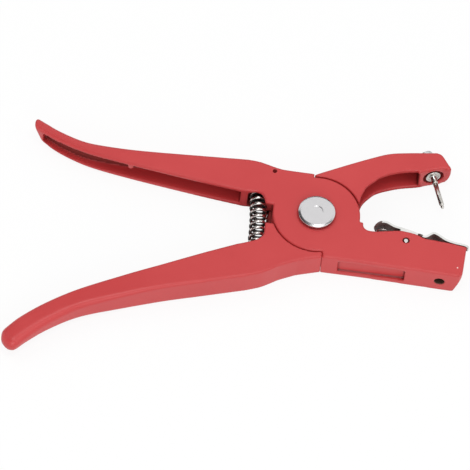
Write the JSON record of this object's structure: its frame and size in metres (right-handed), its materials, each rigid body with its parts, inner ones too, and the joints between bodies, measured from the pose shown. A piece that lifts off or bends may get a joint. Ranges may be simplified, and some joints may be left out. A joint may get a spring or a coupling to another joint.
{
  "type": "ear tag applicator",
  "caption": "Cast hand pliers for livestock ear tags: sprung handles, an upper jaw with a needle pin and a lower jaw with a sprung forked clip.",
  "frame": {"origin": "on the handle pivot's axis, at the pivot pin's flush end in the plane of the back faces", "axes": "+X along the lower jaw towards its tip, +Y from the lower jaw towards the upper jaw, +Z out of the pivot pin's head; the tool lies on its back on z = 0"},
  "size_m": [0.241, 0.1556, 0.0186],
  "materials": {
    "clip_casting_paint": "satin red stoved paint on cast aluminium",
    "pin_casting_paint": "satin red stoved paint on cast aluminium",
    "pivot_steel": "satin turned face with a polished bevel",
    "zinc_plate": "zinc plated",
    "ring_zinc_plate": "zinc plated",
    "spring_steel": "bright drawn wire",
    "stainless_steel": "turned stainless steel",
    "nut_zinc_plate": "zinc plated",
    "nut_plate": "bright nickel plate",
    "clip_plate": "bright plated sheet steel",
    "hinge_pin_steel": "turned steel",
    "clip_spring_steel": "bright drawn wire"
  },
  "bodies": {
    "clip_side": {"clip_jaw_casting": "clip_casting_paint", "pivot_pin": "pivot_steel", "pivot_washer": "zinc_plate", "pivot_retaining_ring": "ring_zinc_plate", "clip_hinge_pin": "hinge_pin_steel", "return_spring": "spring_steel", "clip_spring": "clip_spring_steel"},
    "pin_side": {"pin_jaw_casting": "pin_casting_paint", "applicator_pin": "stainless_steel", "pin_nut_washer": "nut_zinc_plate", "pin_nut": "nut_plate"},
    "clip": {"tag_clip": "clip_plate"}
  },
  "joints": [
    {"name": "handle_pivot", "type": "hinge", "parent": "clip_side", "child": "pin_side", "pos_m": [0, 0, 0.008], "axis": [0, 0, -1], "range_deg": [0, 23.5], "stiffness_Nm_per_rad": 1, "springref_deg": -11.46, "deforming": ["return_spring"]},
    {"name": "clip_hinge", "type": "hinge", "parent": "clip_side", "child": "clip", "pos_m": [0.049, -0.0097, 0.008], "axis": [0, 0, 1], "range_deg": [0, 15], "stiffness_Nm_per_rad": 0.02, "springref_deg": -5.73, "deforming": ["clip_spring"]}
  ]
}
